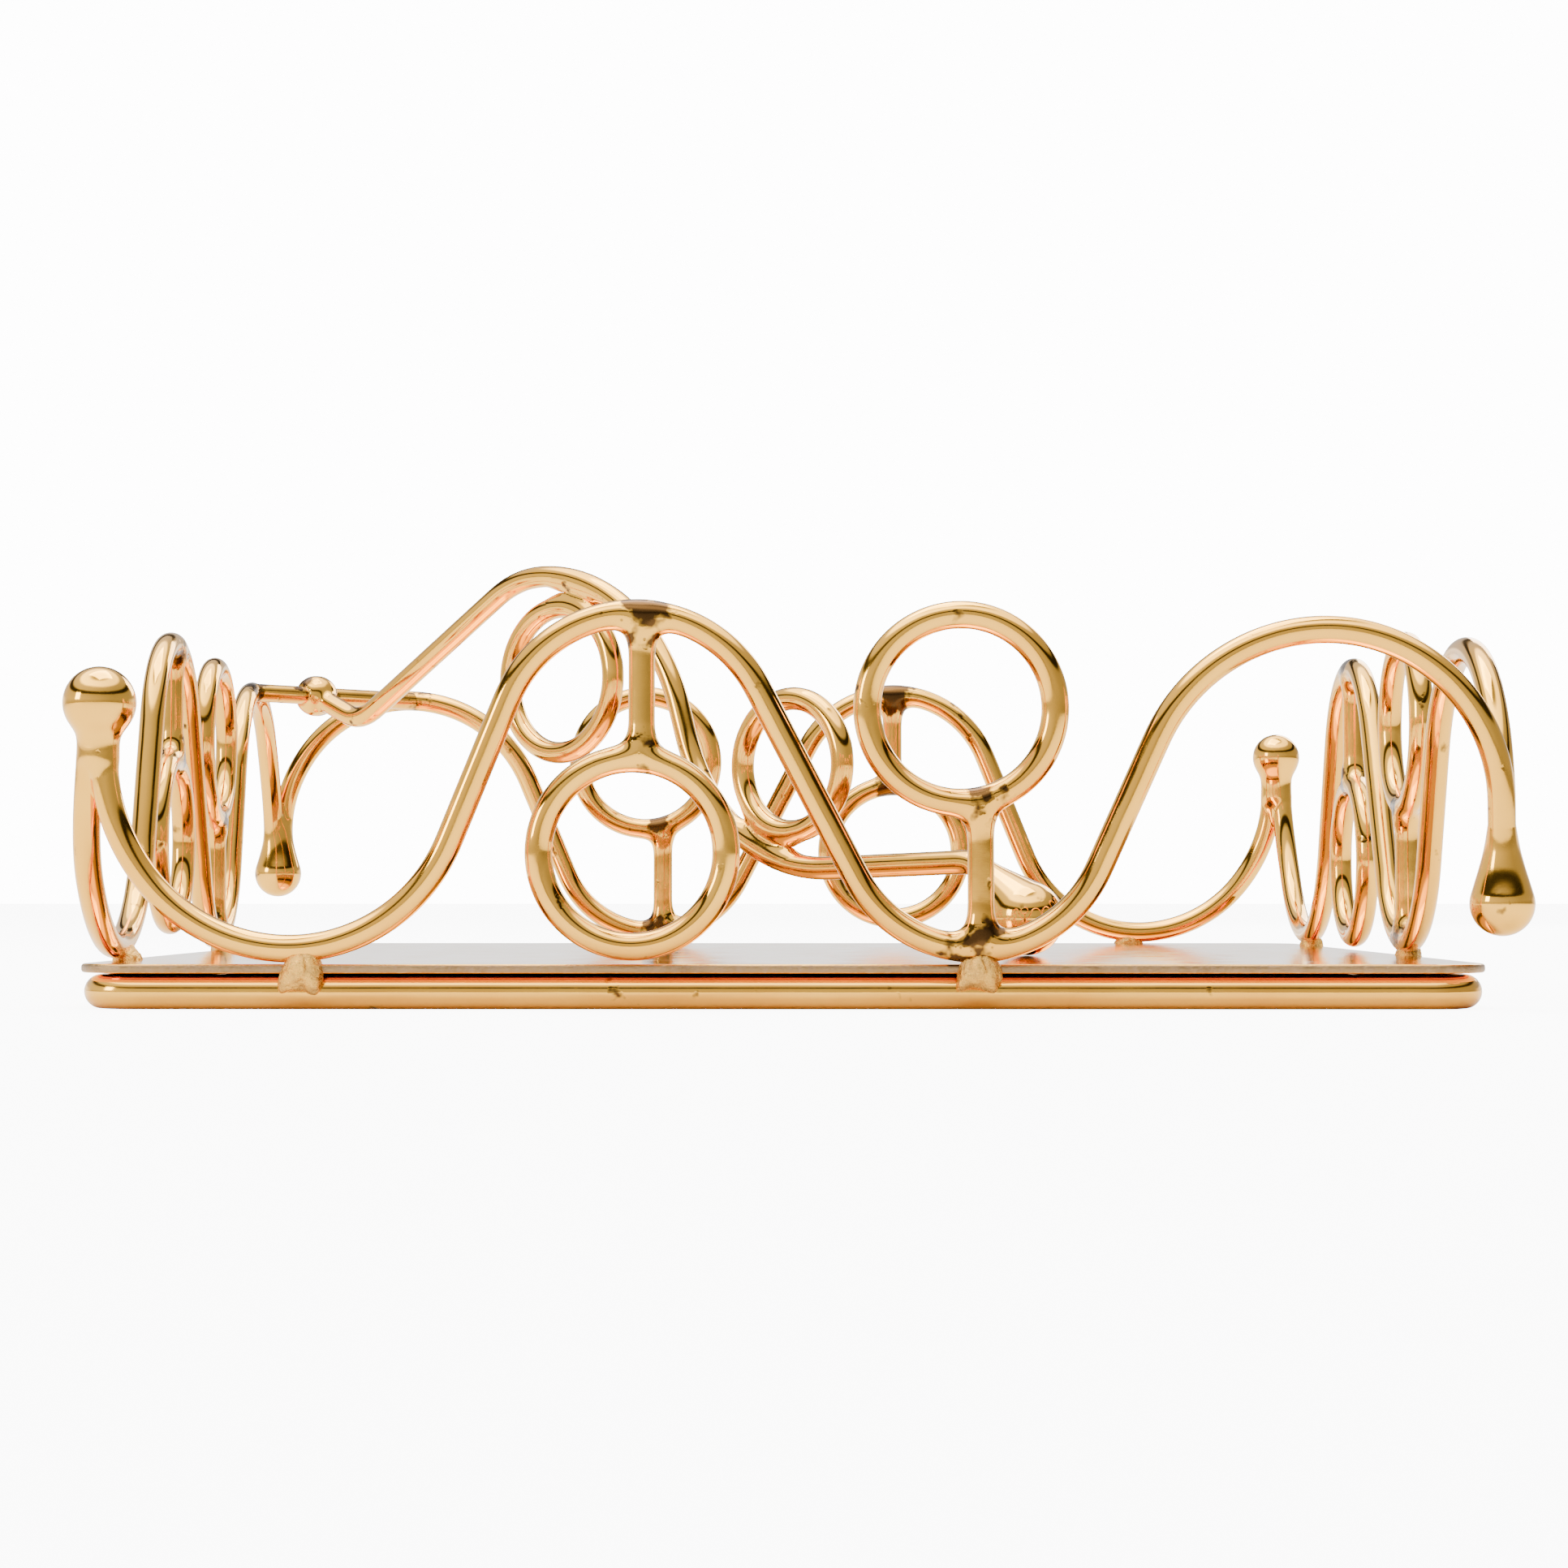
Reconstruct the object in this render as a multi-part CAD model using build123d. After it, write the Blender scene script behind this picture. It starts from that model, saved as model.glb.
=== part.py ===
from build123d import *
from math import acos, asin, atan2, cos, degrees, hypot, radians, sin, sqrt
import os

# Square napkin tray of bent and welded brass wire, with a hinged weight arm.
# Millimetres, +Z up. The origin is the middle of the tray at table height.
# "Along" runs down one side from its corner ball to its corner drop.

# Tray floor
PLATE_SIDE = 184.0
PLATE_THICKNESS = 1.2
PLATE_CORNER = 8.0
PLATE_EDGE_ROUND = 0.45
BASE_ROD_DIAMETER = 4.5
BASE_ROD_INSET = 0.4
BASE_GAP = 0.2

# Wire, rings and stems
WIRE_DIAMETER = 3.6
STEM_DIAMETER = 3.5
RING_DIAMETER = 27.9
ARM_SECOND_RING_DIAMETER = 24.4
STEM_FLARE_WIDTH = 9.0
STEM_FLARE_HEIGHT = 3.8
STEM_SINK = 0.6
WELD_WEB_WIDTH = 5.4

# Gallery rail, shared by all four sides: where each bend sits and how tight it is
VALLEY_ALONG = (-63.7, 25.0)
VALLEY_GAP = 0.2
CREST_ONE_ALONG = -19.0
VALLEY_ONE_RADIUS = 22.3
CREST_ONE_RADIUS = 17.9
VALLEY_TWO_RADIUS = 17.4

# Each side was bent by hand: how far its plane stands outside the plate edge, lean
# of that plane in plan, how far its ends stop short of the plate corners, place and
# inner radius of its second crest, both crest heights, and for each ring its place
# along the rail, the gap below it (plate or valley wire) and the place of its stem
# The right and left wires stop a wire's width short, beside the front and back wires
PIN_CREST_HEIGHT = 50.4
RAILS = {
    "front": dict(turn=0, out=-1, beyond_edge=-0.2, skew=0.45, start_short=4.8, end_short=-0.7,
                  crest_two=(70.3, 24.0), heights=(51.3, 49.1),
                  hanging=(-19.3, 0.45, -18.1), standing=(23.2, 15.25, 25.7)),
    "right": dict(turn=-90, out=1, beyond_edge=-0.1, skew=1.0,
                  start_short=WIRE_DIAMETER + 0.1, end_short=WIRE_DIAMETER - 0.5,
                  crest_two=(66.5, 20.4), heights=(51.2, 48.2),
                  hanging=(-19.2, 0.45, -18.5), standing=(24.4, 16.4, 25.0)),
    "back": dict(turn=180, out=-1, beyond_edge=-0.2, skew=0.45, start_short=4.8, end_short=-0.7,
                 crest_two=(70.3, 24.0), heights=(51.4, PIN_CREST_HEIGHT),
                 hanging=(-19.0, 2.75, -18.7), standing=(26.6, 15.35, 23.4)),
    "left": dict(turn=90, out=1, beyond_edge=1.2, skew=1.25,
                 start_short=WIRE_DIAMETER - 0.2, end_short=WIRE_DIAMETER - 0.5,
                 crest_two=(66.5, 20.4), heights=(52.6, PIN_CREST_HEIGHT),
                 hanging=(-19.2, 2.95, -18.6), standing=(23.8, 16.0, 24.6)),
}

# Corner finials: centre heights, radii, and neck (radius, length from the centre)
BALL_HEIGHT = 39.8
DROP_HEIGHTS = {"front_right": 13.7, "back_left": 18.6}
BALL_RADII = {"front_left": 4.75, "back_right": 4.2}
DROP_RADIUS = 4.2
BALL_NECK = (2.9, 6.0)
DROP_NECK = (2.6, 8.6)

# Weld beads that tie each valley to the plate edge and the base rod
BEAD_ALONG = (-61.9, 25.6)
BEAD_SIZE = (5.4, 3.6, 5.8)

# Hinge and weight arm: distances run from the hinge; the dip and crest heights are
# measured from the pin, the others from the top of the plate
PIN_DIAMETER = 3.2
PIN_CLEARANCE = 0.05
PIN_LEFT_ALONG = 63.3
PIN_BACK_ALONG = 69.1
HUB_DIAMETER = 7.2
HUB_PLACE_ON_PIN = 0.39
ARM_DIP = (11.0, -4.2)
ARM_CREST = (57.2, 17.8)
ARM_VALLEY = (120.4, 13.0)
ARM_NECK = (148.2, 13.8)
ARM_DIP_RADII = (5.0, 9.0)
ARM_CREST_RADII = (21.0, 34.0)
ARM_VALLEY_RADIUS = 31.0
ARM_NECK_RADIUS = 5.0
ARM_FIRST_RING = dict(lean=16.9, gap=1.0)
ARM_SECOND_RING = dict(lean=24.5, gap=0.7)
WEIGHT_RADIUS = 5.5
WEIGHT_ALONG = 159.8
WEIGHT_NECK = (2.0, 11.5)

WIRE_RADIUS = WIRE_DIAMETER / 2
RING_RADIUS = (RING_DIAMETER - WIRE_DIAMETER) / 2
ARM_SECOND_RING_RADIUS = (ARM_SECOND_RING_DIAMETER - WIRE_DIAMETER) / 2
PLATE_BOTTOM = BASE_ROD_DIAMETER + BASE_GAP
PLATE_TOP = PLATE_BOTTOM + PLATE_THICKNESS
VALLEY_HEIGHT = PLATE_TOP + VALLEY_GAP + WIRE_RADIUS
STEM_RADIUS = STEM_DIAMETER / 2
BORE_RADIUS = PIN_DIAMETER / 2 + PIN_CLEARANCE


# ---- bent wire: straight runs joined by round bends ----

def run_angle(centre, radius, next_centre, next_radius):
    """Direction of the straight run between two bends; a crest has a negative radius."""
    across = next_centre[0] - centre[0]
    rise = next_centre[1] - centre[1]
    return atan2(rise, across) + asin((radius - next_radius) / hypot(across, rise))


def on_bend(centre, radius, angle):
    return (centre[0] + radius * sin(angle), centre[1] - radius * cos(angle))


def bent_path(start, bends, end):
    """Centre line through (along, height, radius before, radius after) bends."""
    edges = []
    centre, radius, tip = start, 0.0, start
    for along, height, before, after in bends + [(end[0], end[1], 0.0, 0.0)]:
        next_centre = (along, height + before)
        angle = run_angle(centre, radius, next_centre, before)
        leave = on_bend(centre, radius, angle)
        enter = on_bend(next_centre, before, angle)
        if radius:
            edges.append(ThreePointArc(tip, on_bend(centre, radius, angle / 2), leave))
        edges.append(Line(leave, enter))
        if before:
            middle = on_bend(next_centre, before, angle / 2)
            edges.append(ThreePointArc(enter, middle, (along, height)))
        centre, radius, tip = (along, height + after), after, (along, height)
    return Plane.XZ * Wire(edges)


def round_wire(path, radius):
    section = Plane(origin=path @ 0, z_dir=path % 0) * Circle(radius)
    return sweep(section, path=path)


def upright_ring(centre, radius):
    return Pos(centre[0], 0, centre[1]) * Rot(90, 0, 0) * Torus(radius, WIRE_RADIUS)


def bead_of_metal(sizes):
    """Egg-shaped bead at the origin; its seam faces along the wire."""
    along, across, up = sizes
    return Rot(0, 0, 90) * scale(Sphere(0.5), by=(across, along, up))


def teardrop(radius, neck):
    """Ball at the origin drawn out to a neck that points up."""
    neck_radius, neck_length = neck
    reach = hypot(neck_radius, neck_length)
    touch = atan2(neck_length, neck_radius) - acos(radius / reach)
    touch_point = (radius * cos(touch), radius * sin(touch))
    middle = (touch - radians(90)) / 2
    outline = [
        Line((0, neck_length), (neck_radius, neck_length)),
        Line((neck_radius, neck_length), touch_point),
        ThreePointArc(touch_point, (radius * cos(middle), radius * sin(middle)), (0, -radius)),
        Line((0, -radius), (0, neck_length)),
    ]
    return revolve(Plane.XZ * make_face(Wire(outline)), axis=Axis.Z)


def aim(start, end):
    """Location at start whose Z axis points to end, both in the XZ plane."""
    lean = degrees(atan2(end[0] - start[0], end[1] - start[1]))
    return Pos(start[0], 0, start[1]) * Rot(0, lean, 0)


# ---- stems and welds between a wire and a ring ----

def flare(wide_height, round_height):
    """Weld web that narrows from a wide flat foot to the round stem."""
    middle = wide_height + (round_height - wide_height) * 0.4
    wide = STEM_FLARE_WIDTH / 2
    waist = STEM_RADIUS + (wide - STEM_RADIUS) * 0.3
    sections = [
        Pos(0, 0, wide_height) * Ellipse(wide, STEM_RADIUS - 0.04),
        Pos(0, 0, middle) * Ellipse(waist, STEM_RADIUS - 0.02),
        Pos(0, 0, round_height) * Circle(STEM_RADIUS),
    ]
    return loft(sections)


def flared_stem(along, low, high):
    """Upright stem between two centre line heights, flared at both ends."""
    low_round = low + WIRE_RADIUS + STEM_FLARE_HEIGHT
    high_round = high - WIRE_RADIUS - STEM_FLARE_HEIGHT
    rod = Pos(0, 0, (low_round + high_round) / 2) * Cylinder(STEM_RADIUS, high_round - low_round)
    foot = flare(low + STEM_SINK, low_round)
    head = flare(high - STEM_SINK, high_round)
    return Pos(along, 0, 0) * (rod + foot + head)


def weld_web(start, end):
    """Short flat web between two wires that nearly touch."""
    length = hypot(end[0] - start[0], end[1] - start[1])
    web = extrude(Ellipse(WELD_WEB_WIDTH / 2, WIRE_RADIUS - 0.1), amount=length)
    return aim(start, end) * web


# ---- tray floor ----

def base_plate():
    sheet = extrude(RectangleRounded(PLATE_SIDE, PLATE_SIDE, PLATE_CORNER), amount=PLATE_THICKNESS)
    rims = sheet.faces().sort_by(Axis.Z)[0].edges() + sheet.faces().sort_by(Axis.Z)[-1].edges()
    return Pos(0, 0, PLATE_BOTTOM) * fillet(rims, PLATE_EDGE_ROUND)


def base_ring():
    inset = BASE_ROD_INSET + BASE_ROD_DIAMETER / 2
    side = PLATE_SIDE - 2 * inset
    outline = RectangleRounded(side, side, PLATE_CORNER - BASE_ROD_INSET - BASE_ROD_DIAMETER / 2)
    path = Pos(0, 0, BASE_ROD_DIAMETER / 2) * outline.wire()
    return round_wire(path, BASE_ROD_DIAMETER / 2)


# ---- one side of the gallery, drawn in its own upright plane ----

def rail_place(side):
    rail = RAILS[side]
    offset = PLATE_SIDE / 2 + rail["beyond_edge"]
    lean = rail["out"] * rail["skew"]
    return Rot(0, 0, rail["turn"]) * Pos(0, rail["out"] * offset, 0) * Rot(0, 0, lean)


def rail_start(side):
    return RAILS[side]["start_short"] - PLATE_SIDE / 2


def rail_end(side):
    return PLATE_SIDE / 2 - RAILS[side]["end_short"]


def rail_point(side, along, height):
    return (rail_place(side) * Pos(along, 0, height)).position


def rail_crest_two_height(side, along):
    crest_along, radius = RAILS[side]["crest_two"]
    crest_centre = RAILS[side]["heights"][1] - radius
    return crest_centre + sqrt(radius ** 2 - (crest_along - along) ** 2)


def rail_wire(side, end_height):
    rail = RAILS[side]
    start, end = rail_start(side), rail_end(side)
    crest_one, crest_two = rail["heights"]
    crest_along, crest_radius = rail["crest_two"]
    first, second = VALLEY_ALONG
    bends = [
        (first, VALLEY_HEIGHT, first - start, VALLEY_ONE_RADIUS),
        (CREST_ONE_ALONG, crest_one, -CREST_ONE_RADIUS, -CREST_ONE_RADIUS),
        (second, VALLEY_HEIGHT, VALLEY_TWO_RADIUS, VALLEY_TWO_RADIUS),
        (crest_along, crest_two, -crest_radius, crest_along - end),
    ]
    path = bent_path((start, BALL_HEIGHT), bends, (end, end_height))
    return round_wire(path, WIRE_RADIUS)


def side_pieces(side, end_height):
    """Rail, rings and stems of one side, still in the plane of that side."""
    wire = rail_wire(side, end_height)
    hang_along, hang_gap, hang_stem = RAILS[side]["hanging"]
    stand_along, stand_gap, stand_stem = RAILS[side]["standing"]
    hang_height = PLATE_TOP + hang_gap + RING_DIAMETER / 2
    stand_height = VALLEY_HEIGHT + WIRE_RADIUS + stand_gap + RING_DIAMETER / 2
    hanging = upright_ring((hang_along, hang_height), RING_RADIUS)
    standing = upright_ring((stand_along, stand_height), RING_RADIUS)
    ring_top = hang_height + RING_RADIUS
    ring_bottom = stand_height - RING_RADIUS
    upper_stem = flared_stem(hang_stem, ring_top, RAILS[side]["heights"][0])
    lower_stem = flared_stem(stand_stem, VALLEY_HEIGHT, ring_bottom)
    return {
        "rail_" + side: wire,
        "ring_" + side + "_hanging": hanging,
        "ring_" + side + "_standing": standing,
        "stem_" + side + "_hanging": upper_stem - wire - hanging,
        "stem_" + side + "_standing": lower_stem - wire - standing,
    }


def side_bead(side, along):
    """Bead over the plate edge that reaches from the valley wire to the base rod."""
    rail = RAILS[side]
    spot = Pos(along, rail["out"] * PLATE_SIDE / 2, PLATE_BOTTOM + PLATE_THICKNESS / 2)
    return Rot(0, 0, rail["turn"]) * spot * bead_of_metal(BEAD_SIZE)


# ---- corners ----

def corner_spot(first_side, second_side, where):
    """Midpoint between the two wire ends that meet at a corner."""
    first = rail_point(first_side, where(first_side), 0)
    second = rail_point(second_side, where(second_side), 0)
    return (first + second) / 2


def corner_ball(spot, radius):
    """Round ball standing on the two wire ends, neck down."""
    return Pos(spot.X, spot.Y, BALL_HEIGHT) * Rot(180, 0, 0) * teardrop(radius, BALL_NECK)


def corner_drop(spot, height):
    """Drop hanging from the two wire ends, neck up."""
    return Pos(spot.X, spot.Y, height) * teardrop(DROP_RADIUS, DROP_NECK)


# ---- hinge and weight arm ----

def pin_ends():
    """The pin lies level between the second crests of the left and back rails."""
    left_height = rail_crest_two_height("left", PIN_LEFT_ALONG)
    back_height = rail_crest_two_height("back", PIN_BACK_ALONG)
    height = (left_height + back_height) / 2
    left = rail_point("left", PIN_LEFT_ALONG, height)
    back = rail_point("back", PIN_BACK_ALONG, height)
    return left, back


def pin_rod():
    left, back = pin_ends()
    axis = back - left
    return Solid.make_cylinder(PIN_DIAMETER / 2, axis.length, Plane(origin=left, z_dir=axis))


def hinge_centre():
    left, back = pin_ends()
    return left + (back - left) * HUB_PLACE_ON_PIN


def arm_place():
    left, back = pin_ends()
    hinge = hinge_centre()
    heading = degrees(atan2(back.Y - left.Y, back.X - left.X)) - 90
    return Pos(hinge.X, hinge.Y, 0) * Rot(0, 0, heading)


def above_pin(point):
    return (point[0], hinge_centre().Z + point[1])


def above_plate(point):
    return (point[0], PLATE_TOP + point[1])


def arm_wire():
    hinge = above_pin((0, 0))
    bends = [
        (*above_pin(ARM_DIP), *ARM_DIP_RADII),
        (*above_pin(ARM_CREST), -ARM_CREST_RADII[0], -ARM_CREST_RADII[1]),
        (*above_plate(ARM_VALLEY), ARM_VALLEY_RADIUS, ARM_VALLEY_RADIUS),
        (*above_plate(ARM_NECK), -ARM_NECK_RADIUS, -ARM_NECK_RADIUS),
    ]
    first_bend = above_pin((ARM_DIP[0], ARM_DIP[1] + ARM_DIP_RADII[0]))
    angle = run_angle(hinge, 0.0, first_bend, ARM_DIP_RADII[0])
    sunk = (HUB_DIAMETER / 2 + BORE_RADIUS) / 2
    start = (hinge[0] + sunk * cos(angle), hinge[1] + sunk * sin(angle))
    return round_wire(bent_path(start, bends, weight_centre()), WIRE_RADIUS)


def weight_centre():
    return above_plate((WEIGHT_ALONG, WEIGHT_RADIUS))


def ring_in_bend(bend_centre, bend_radius, ring, ring_radius, way):
    """Ring lying inside a bend of the arm, and the web that welds it to the wire."""
    lean = radians(ring["lean"])
    step = (way * sin(lean), way * cos(lean))
    wire_reach = bend_radius
    ring_reach = wire_reach - WIRE_DIAMETER - ring["gap"]
    centre_reach = ring_reach - ring_radius
    centre = (bend_centre[0] + step[0] * centre_reach, bend_centre[1] + step[1] * centre_reach)
    on_ring = (bend_centre[0] + step[0] * ring_reach, bend_centre[1] + step[1] * ring_reach)
    on_wire = (bend_centre[0] + step[0] * wire_reach, bend_centre[1] + step[1] * wire_reach)
    return upright_ring(centre, ring_radius), weld_web(on_ring, on_wire)


def arm_pieces():
    """The lifting arm, in the plane square to the hinge pin."""
    hinge = above_pin((0, 0))
    wire = arm_wire()
    ball = Pos(hinge[0], 0, hinge[1]) * Sphere(HUB_DIAMETER / 2)
    bore = Pos(hinge[0], 0, hinge[1]) * Rot(90, 0, 0) * Cylinder(BORE_RADIUS, HUB_DIAMETER * 2)
    crest_centre = above_pin((ARM_CREST[0], ARM_CREST[1] - ARM_CREST_RADII[1]))
    valley_centre = above_plate((ARM_VALLEY[0], ARM_VALLEY[1] + ARM_VALLEY_RADIUS))
    first_ring, first_web = ring_in_bend(
        crest_centre, ARM_CREST_RADII[1], ARM_FIRST_RING, RING_RADIUS, 1)
    second_ring, second_web = ring_in_bend(
        valley_centre, ARM_VALLEY_RADIUS, ARM_SECOND_RING, ARM_SECOND_RING_RADIUS, -1)
    drop = aim(weight_centre(), above_plate(ARM_NECK)) * teardrop(WEIGHT_RADIUS, WEIGHT_NECK)
    return {
        "arm_hub": ball - bore - wire,
        "arm_wire": wire,
        "arm_ring_hanging": first_ring,
        "arm_ring_standing": second_ring,
        "arm_weld_hanging": first_web - wire - first_ring,
        "arm_weld_standing": second_web - wire - second_ring,
        "arm_weight": drop - wire,
    }


# ---- assembly ----

def build():
    parts = {"base_plate": base_plate(), "base_ring": base_ring()}
    end_heights = {
        "front": DROP_HEIGHTS["front_right"],
        "right": DROP_HEIGHTS["front_right"],
        "back": DROP_HEIGHTS["back_left"],
        "left": DROP_HEIGHTS["back_left"],
    }
    for side in RAILS:
        place = rail_place(side)
        for name, shape in side_pieces(side, end_heights[side]).items():
            parts[name] = place * shape
        for number, along in enumerate(BEAD_ALONG, start=1):
            bead = side_bead(side, along)
            bead = bead - parts["base_plate"] - parts["base_ring"] - parts["rail_" + side]
            parts["weld_" + side + "_" + str(number)] = bead

    corners = {
        "ball_front_left": ("front", "left"),
        "ball_back_right": ("back", "right"),
        "drop_front_right": ("front", "right"),
        "drop_back_left": ("back", "left"),
    }
    for name, (first, second) in corners.items():
        kind, corner = name.split("_", 1)
        if kind == "ball":
            finial = corner_ball(corner_spot(first, second, rail_start), BALL_RADII[corner])
        else:
            finial = corner_drop(corner_spot(first, second, rail_end), DROP_HEIGHTS[corner])
        finial = finial - parts["rail_" + first] - parts["rail_" + second]
        parts["corner_" + name] = finial

    parts["hinge_pin"] = pin_rod() - parts["rail_left"] - parts["rail_back"]
    for name, shape in arm_pieces().items():
        parts[name] = arm_place() * shape
    return parts


if __name__ == "__main__":
    os.makedirs("parts", exist_ok=True)
    for node, solid in build().items():
        export_step(solid, "parts/" + node + ".step")
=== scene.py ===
"""Square brass napkin tray with a bent wire gallery and a hinged weight arm.

Bent centre lines are worked out in millimetres, and every mesh is made in metres.
"""

from math import asin, atan2, cos, exp, hypot, pi, radians, sin, sqrt

import bmesh
import bpy
import numpy as np
from bpy.props import FloatProperty, FloatVectorProperty, PointerProperty
from mathutils import Euler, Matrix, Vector, noise


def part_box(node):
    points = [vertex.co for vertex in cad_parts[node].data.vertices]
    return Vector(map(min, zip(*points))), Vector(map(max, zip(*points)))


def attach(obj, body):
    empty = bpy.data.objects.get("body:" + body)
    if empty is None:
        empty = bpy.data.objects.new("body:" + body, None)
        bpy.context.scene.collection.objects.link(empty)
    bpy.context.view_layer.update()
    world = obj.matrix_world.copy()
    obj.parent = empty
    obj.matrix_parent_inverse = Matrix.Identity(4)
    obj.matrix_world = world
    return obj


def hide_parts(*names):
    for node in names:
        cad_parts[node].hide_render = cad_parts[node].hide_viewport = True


bl_info = {
    "name": "Brass Napkin Tray",
    "version": (1, 0, 0),
    "blender": (4, 5, 0),
    "location": "View3D > Sidebar > Napkin Tray",
    "description": "Builds a square napkin tray of bent and brazed brass wire",
    "category": "Add Mesh",
}

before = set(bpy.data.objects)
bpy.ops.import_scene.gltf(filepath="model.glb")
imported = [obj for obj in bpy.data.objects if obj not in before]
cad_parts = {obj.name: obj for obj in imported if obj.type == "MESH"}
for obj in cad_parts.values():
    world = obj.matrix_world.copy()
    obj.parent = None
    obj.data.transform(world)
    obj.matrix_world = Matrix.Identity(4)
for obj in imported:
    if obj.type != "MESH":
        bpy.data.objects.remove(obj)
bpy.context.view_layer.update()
MM = 0.001
UP = np.array([0.0, 0.0, 1.0])
# Times this, a place keeps only its level part
LEVEL = np.array([1.0, 1.0, 0.0])


def cad_box(node):
    """Lowest and highest corner of a CAD node, in millimetres."""
    low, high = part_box(node)
    return np.array(low) / MM, np.array(high) / MM


def cad_centre(node):
    """Middle of a CAD node's box, in millimetres."""
    low, high = cad_box(node)
    return (low + high) / 2


def cad_height(node):
    """Height of a CAD node's box, in millimetres."""
    low, high = cad_box(node)
    return high[2] - low[2]


PLATE_LOW, PLATE_HIGH = cad_box("base_plate")
PLATE_SIDE = float(PLATE_HIGH[0] - PLATE_LOW[0])
PLATE_TOP = float(PLATE_HIGH[2])
PLATE_MIDDLE = float(PLATE_LOW[2] + PLATE_HIGH[2]) / 2

# Spacing of the points on a bent centre line
LINE_STEP = 0.25

# Bends of the gallery rail: place along the side, and radius
VALLEY_ALONG = (-63.7, 25.0)
VALLEY_RADII = (22.3, 17.4)
VALLEY_GAP = 0.2
CREST_ALONG = -19.0
CREST_RADIUS = 17.9

# Each side: turn and outward sense, distance outside the plate edge, lean in plan,
# shortfall at both ends, second crest (place, inner radius), crest heights, and the
# places of the stems of the hanging and the standing ring
SIDES = {
    "front": dict(turn=0, out=-1, beyond=-0.2, lean=0.45, short=(4.8, -0.7),
                  crest=(70.3, 24.0), heights=(51.3, 49.1), stems=(-18.1, 25.7)),
    "right": dict(turn=-90, out=1, beyond=-0.1, lean=1.0, short=(3.7, 3.1),
                  crest=(66.5, 20.4), heights=(51.2, 48.2), stems=(-18.5, 25.0)),
    "back": dict(turn=180, out=-1, beyond=-0.2, lean=0.45, short=(4.8, -0.7),
                 crest=(70.3, 24.0), heights=(51.4, 50.4), stems=(-18.7, 23.4)),
    "left": dict(turn=90, out=1, beyond=1.2, lean=1.25, short=(3.4, 3.1),
                 crest=(66.5, 20.4), heights=(52.6, 50.4), stems=(-18.6, 24.6)),
}
RING_STATES = ("hanging", "standing")

# Corners: the two sides that meet, and how far the ball or drop sits from the first
# side's wire towards the second's
BALL_HEIGHT = 39.8
CORNERS = {
    "corner_ball_front_left": dict(sides=("front", "left"), radius=4.75,
                                   height=BALL_HEIGHT, share=0.36),
    "corner_ball_back_right": dict(sides=("back", "right"), radius=4.2,
                                   height=BALL_HEIGHT, share=0.5),
    "corner_drop_front_right": dict(sides=("front", "right"), radius=4.2,
                                    height=13.7, share=0.5),
    "corner_drop_back_left": dict(sides=("back", "left"), radius=4.2,
                                  height=18.6, share=0.5),
}
BALL_OF = {side: name for name in CORNERS if "ball" in name for side in CORNERS[name]["sides"]}
DROP_OF = {side: name for name in CORNERS if "drop" in name for side in CORNERS[name]["sides"]}

# Hinge, and the arm in the plane square to the pin. A bend is its place along the arm,
# its height over the pin (first two) or the plate, and its radius before and after
PIN_ALONG = {"left": 63.3, "back": 69.1}
HUB_ON_PIN = 0.39
ARM_DIP = (11.0, -4.2, 5.0, 9.0)
ARM_CREST = (57.2, 17.8, -21.0, -34.0)
ARM_VALLEY = (120.4, 13.0, 31.0, 31.0)
ARM_NECK = (148.2, 13.8, -5.0, -5.0)
ARM_WELDS = {"arm_weld_hanging": dict(ring="arm_ring_hanging", lean=16.9, way=1),
             "arm_weld_standing": dict(ring="arm_ring_standing", lean=24.5, way=-1)}
WEIGHT_ALONG = 159.8
WEIGHT_RADIUS = 5.5

# Brazed joints. A fade is the distance at which a joint starts to sink into the bare
# bars, and the distance at which it ends inside them. A core is the radius of a rough
# part that is meshed first and then pressed on to the joint's shape
JOINT_VOXEL = 0.32
HUB_VOXEL = 0.25
JOINT_SIDES = 16
STEM_SINK = 2.7
STEM_FADE = (6.0, 9.5)
RING_SOFTNESS = 0.85
ARM_JOINT_SOFTNESS = 4.4
ARM_JOINT_FADE = (5.5, 8.5)
ARM_JOINT_CORE = 1.9
CORNER_SOFTNESS = 1.6
CORNER_FADE = (9.5, 13.0)
BALL_NECK = dict(length=-7.0, radii=(2.5, 2.3), softness=2.2)
DROP_NECK = dict(length=8.6, radius=1.7)
NECK_CORE = 2.2
HUB_SOFTNESS = 1.3
HUB_FADE = (6.5, 8.5)
HUB_FLAT = 0.2
BORE_GAP = 0.12
BORE_REACH = 9.0
WEIGHT_SOFTNESS = 1.5
WEIGHT_FADE = (13.0, 15.5)
WEIGHT_INSET = 0.03
WEIGHT_CORE = 3.6

# Raw beads: place along a side, half sizes, (scale, height) of the lumps on them, and
# where the drips hang
BEAD_ALONG = (-61.9, 25.6)
BEAD_HALF = (2.9, 2.15)
BEAD_OVERLAP = 0.45
BEAD_LUMPS = ((1.0, 0.10), (3.1, 0.05), (9.0, 0.022), (21.0, 0.012))
DRIPS_AT = (-0.62, 0.5)

# Soot: (reach, darkness) where the torch was held
SOOT_ON_WIRE = (4.2, 0.85)
SOOT_ON_RING = (3.4, 0.72)
SOOT_ON_HINGE = (4.5, 0.55)
SOOT_ON_PIN_END = (3.5, 0.75)

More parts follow.
